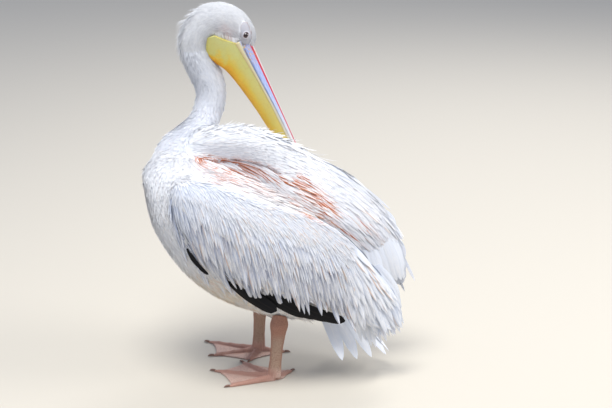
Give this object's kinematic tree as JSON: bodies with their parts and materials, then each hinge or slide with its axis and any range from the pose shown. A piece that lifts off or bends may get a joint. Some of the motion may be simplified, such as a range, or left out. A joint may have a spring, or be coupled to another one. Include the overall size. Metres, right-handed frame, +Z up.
{
  "type": "great white pelican",
  "caption": "Life-size still model of a great white pelican standing on both feet and preening, its head turned back and its bill laid over the lifted right wing.",
  "frame": {"origin": "on the floor, under the middle of the bounding box", "axes": "+Z up; the bird's breast points along -X, its left side along -Y"},
  "size_m": [0.6488, 0.3448, 0.8929],
  "materials": {
    "plumage": "soft matt feathers",
    "flight_feathers": "dark feathers with a faint sheen",
    "bare_skin": "scaly bare skin",
    "pouch_skin": "thin taut skin",
    "bill_horn": "smooth blue-grey horn with a red edge",
    "rod_horn": "smooth pale horn",
    "nail_horn": "smooth red horn",
    "claw_horn": "dark horn",
    "eye": "wet dark brown eye"
  },
  "bodies": {
    "root": {"bill_nail": "nail_horn", "claw_left_1": "claw_horn", "claw_left_2": "claw_horn", "claw_left_3": "claw_horn", "claw_left_4": "claw_horn", "claw_right_1": "claw_horn", "claw_right_2": "claw_horn", "claw_right_3": "claw_horn", "claw_right_4": "claw_horn", "crest": "plumage", "eye_left": "eye", "eye_right": "eye", "foot_left": "bare_skin", "foot_right": "bare_skin", "head": "plumage", "leg_left": "bare_skin", "leg_right": "bare_skin", "lower_bill": "rod_horn", "neck_lower": "plumage", "neck_upper": "plumage", "primaries_left": "flight_feathers", "primaries_right": "flight_feathers", "tail": "plumage", "tertials_left": "plumage", "tertials_right": "plumage", "throat_pouch": "pouch_skin", "trunk": "plumage", "upper_bill": "bill_horn", "wing_left": "plumage", "wing_right": "plumage"}
  },
  "joints": []
}
